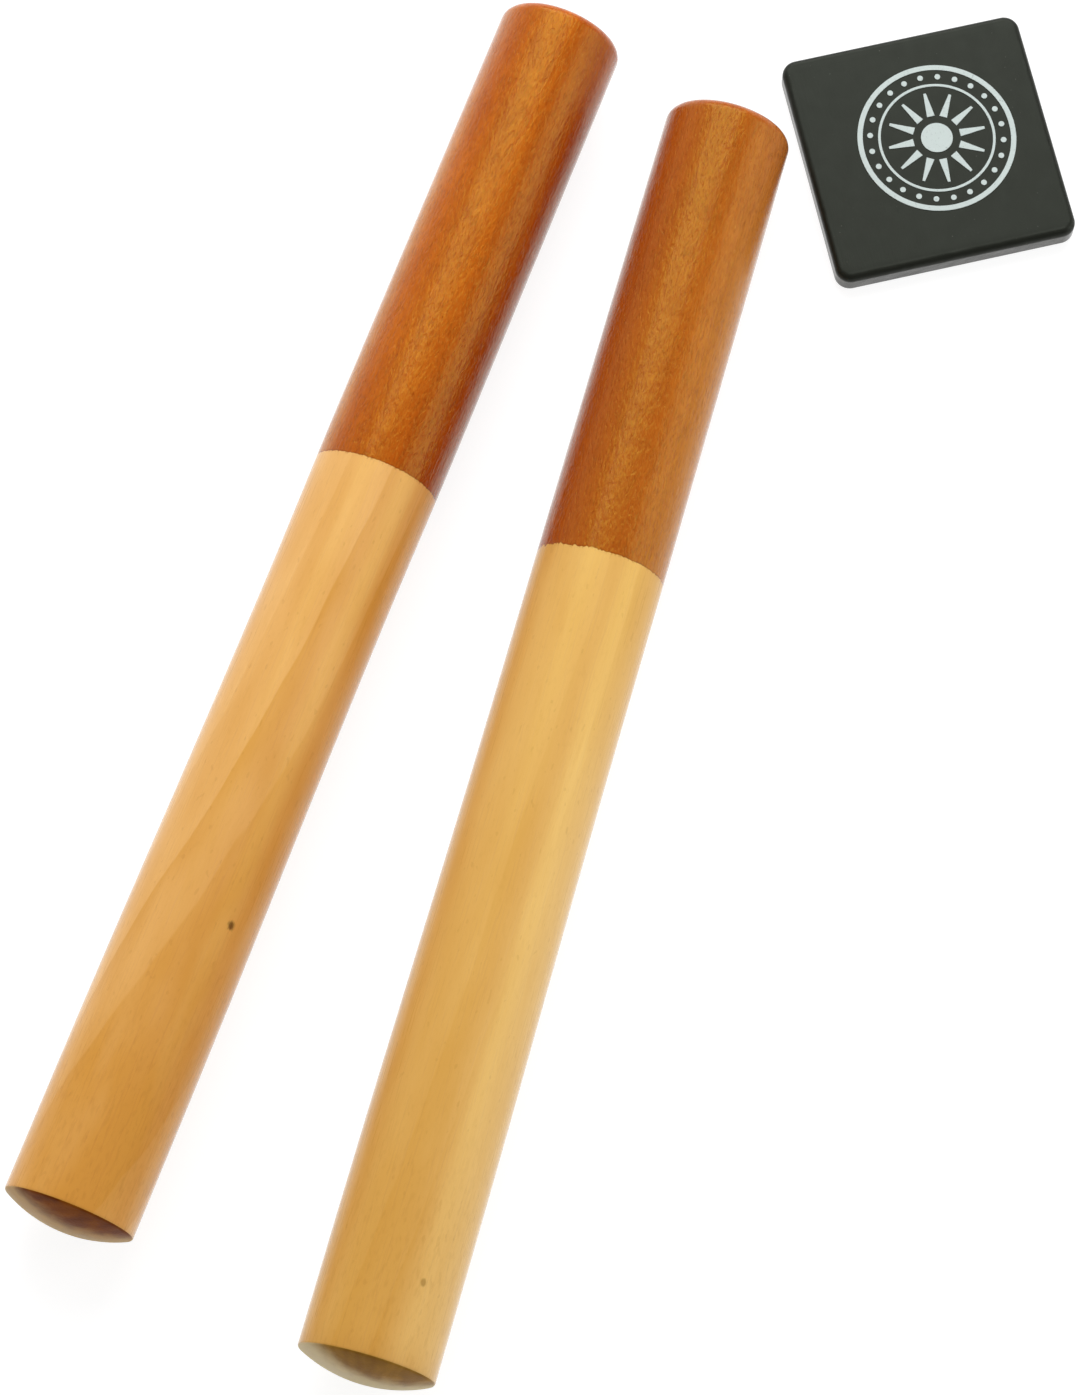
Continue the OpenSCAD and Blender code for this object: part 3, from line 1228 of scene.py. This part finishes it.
@dataclass(frozen=True)
class Studio:
    """A white table, three soft lamps, a dim room with a pale horizon, and the camera, in metres."""

    camera_place: Point = (0.041253, -0.361326, 0.783600)
    camera_target: Point = (-0.03630, -0.12684, 0.0)
    camera_reach: Pair = (0.01, 100)
    lens: float = 114.64
    lamps: tuple[Lamp, ...] = (
        Lamp("top_lamp", (-0.24, 0.7, 0.84), (-0.05, -0.05, 0.0), (0.95, 1.0), 12.4),
        Lamp("side_lamp", (0.75, 0.3, 0.42), (-0.05, 0.1, 0.0), (0.62, 0.55), 2.7),
        Lamp("fill_lamp", (-0.9, 0.25, 0.5), (-0.08, -0.1, 0.0), (1.4, 0.8), 2.1),
    )
    room: float = 0.27
    horizon: Pair = (0.06, 0.16)
    floor_half: float = 20
    floor_drop: float = 0.00002
    floor_colour: float = 0.86
    seen_glow: float = 0.88
    seen_colour: float = 0.26

    def camera(self) -> None:
        """Puts the camera where the photograph was taken from."""
        data = bpy.data.cameras.new("camera")
        data.lens = self.lens
        data.clip_start, data.clip_end = self.camera_reach
        seen = bpy.data.objects.new("camera", data)
        seen.location = self.camera_place
        aim = Vector(self.camera_target) - Vector(self.camera_place)
        seen.rotation_euler = aim.to_track_quat("-Z", "Y").to_euler()
        bpy.context.scene.collection.objects.link(seen)
        bpy.context.scene.camera = seen

    def world(self) -> None:
        """Makes the room dim above and white towards the horizon."""
        graph = Graph(bpy.data.worlds.new("room"))
        bpy.context.scene.world = graph.owner
        towards = graph.node("ShaderNodeTexCoord").outputs["Generated"]
        up = graph.node("ShaderNodeSeparateXYZ", {0: towards}).outputs[2]
        inputs = {0: (1, 1, 1, 1), 1: graph.step(up, *self.horizon, 1, self.room)}
        light = graph.node("ShaderNodeBackground", inputs)
        graph.node("ShaderNodeOutputWorld", {0: light.outputs[0]})

    def floor(self) -> None:
        """Lays the white table, which shows white to the camera and in reflections but keeps soft shadows."""
        graph = Graph(bpy.data.materials.new("white_table"))
        path = graph.node("ShaderNodeLightPath").outputs
        seen = graph.math("MAXIMUM", path["Is Camera Ray"], path["Is Glossy Ray"])
        seen = graph.math("MAXIMUM", seen, path["Is Transmission Ray"])
        plain = graph.node("ShaderNodeBsdfDiffuse", {"Color": (*[self.floor_colour] * 3, 1)})
        glow = graph.node("ShaderNodeEmission", {"Color": (1, 1, 1, 1), "Strength": self.seen_glow})
        dull = graph.node("ShaderNodeBsdfDiffuse", {"Color": (*[self.seen_colour] * 3, 1)})
        bright = graph.node("ShaderNodeAddShader", {0: glow.outputs[0], 1: dull.outputs[0]})
        both = graph.node("ShaderNodeMixShader", {0: seen, 1: plain.outputs[0], 2: bright.outputs[0]})
        graph.node("ShaderNodeOutputMaterial", {"Surface": both.outputs[0]})
        half = self.floor_half
        mesh = bpy.data.meshes.new("table")
        square = ((-half, -half), (half, -half), (half, half), (-half, half))
        mesh.from_pydata([(x, y, -self.floor_drop) for x, y in square], [], [(0, 1, 2, 3)])
        table = bpy.data.objects.new("table", mesh)
        table.data.materials.append(graph.owner)
        bpy.context.scene.collection.objects.link(table)

    def build(self) -> None:
        """Sets up the whole studio."""
        bpy.context.scene.view_settings.view_transform = "Standard"
        self.camera()
        for lamp in self.lamps:
            lamp.build()
        self.world()
        self.floor()


# The set

LEFT_GROWTH = GrowthLayers(
    angle=18, slope=-0.1137, bend=-0.00523, width=7.5, waver=2.5, first=0.5, others=0.25, heart=0.48, seed=0
)
RIGHT_GROWTH = GrowthLayers(
    angle=40, slope=-0.08, bend=-0.0012, width=6.5, waver=4, first=0.25, others=0.2, heart=0.1, seed=60
)

LEFT_STICK = Stick(
    side=Side.LEFT,
    grip_radius=11.9,
    other_grip_radius=12.05,
    swell_rise=0.55,
    waist_drop=0.5,
    stain_length=100,
    left_teeth=0.12,
    right_teeth=0.16,
    seed=3,
    growth=LEFT_GROWTH,
    bare=BareWood(
        pale=(246, 190, 120),
        deep=(220, 152, 68),
        fleck=(176, 104, 44),
        blemish=Blemish(44.3, 190.1, 0.9, 1.0, (100, 46, 18), 0.9),
        end_shade=0.12,
    ),
    cut=CutWood(pale=(158, 86, 14), deep=(110, 48, 2), reflection=(222, 184, 128)),
    stained=StainedWood(
        light=(216, 140, 60),
        bright=(199, 98, 20),
        deep=(168, 67, 8),
        rim=(120, 44, 0),
        red=(142, 38, 0),
        shaded_flank_angle=75,
        gold=(218, 146, 22),
        gold_light_angle=-90,
    ),
)

RIGHT_STICK = Stick(
    side=Side.RIGHT,
    grip_radius=12.05,
    other_grip_radius=11.9,
    swell_rise=0.9,
    waist_drop=0.05,
    stain_length=95,
    left_teeth=0.5,
    right_teeth=0.12,
    seed=8,
    growth=RIGHT_GROWTH,
    bare=BareWood(
        pale=(237, 186, 108),
        deep=(220, 160, 74),
        fleck=(180, 116, 48),
        blemish=Blemish(30.3, 232, 0.6, 0.8, (150, 104, 48), 0.6),
        end_shade=0.4,
        rim_dark=0.2,
        lit_share=0.57,
    ),
    cut=CutWood(pale=(180, 130, 50), deep=(142, 96, 28), reflection=(244, 224, 178)),
    stained=StainedWood(
        light=(210, 136, 60),
        bright=(188, 96, 26),
        deep=(165, 75, 16),
        rim=(116, 46, 4),
        red=(156, 54, 2),
        shaded_flank_angle=-50,
        gold=(208, 136, 38),
        gold_light_angle=85,
    ),
)


def report(piece: bpy.types.Object, low: Vector, high: Vector) -> None:
    """Logs a piece's size and how far its box lies from that of the CAD node it stands for.

    Args:
        piece: The piece.
        low: Lowest corner of the node's box.
        high: Highest corner of the node's box.
    """
    points = np.empty(len(piece.data.vertices) * 3)
    piece.data.vertices.foreach_get("co", points)
    points = points.reshape(-1, 3)
    off = np.concatenate([points.min(0) - np.array(low), np.array(high) - points.max(0)]) / MM
    faces = len(piece.data.polygons)
    LOG.info("%s: %d faces, inside its node's box by %s mm", piece.name, faces, off.round(3))


def main() -> None:
    """Builds the studio, the block and both sticks in order."""
    logging.basicConfig(level=logging.INFO, format="%(message)s", stream=sys.stdout)
    layout = Layout()
    Studio().build()
    Block().build(layout)
    LEFT_STICK.build(layout)
    RIGHT_STICK.build(layout)


if __name__ == "__main__":
    main()
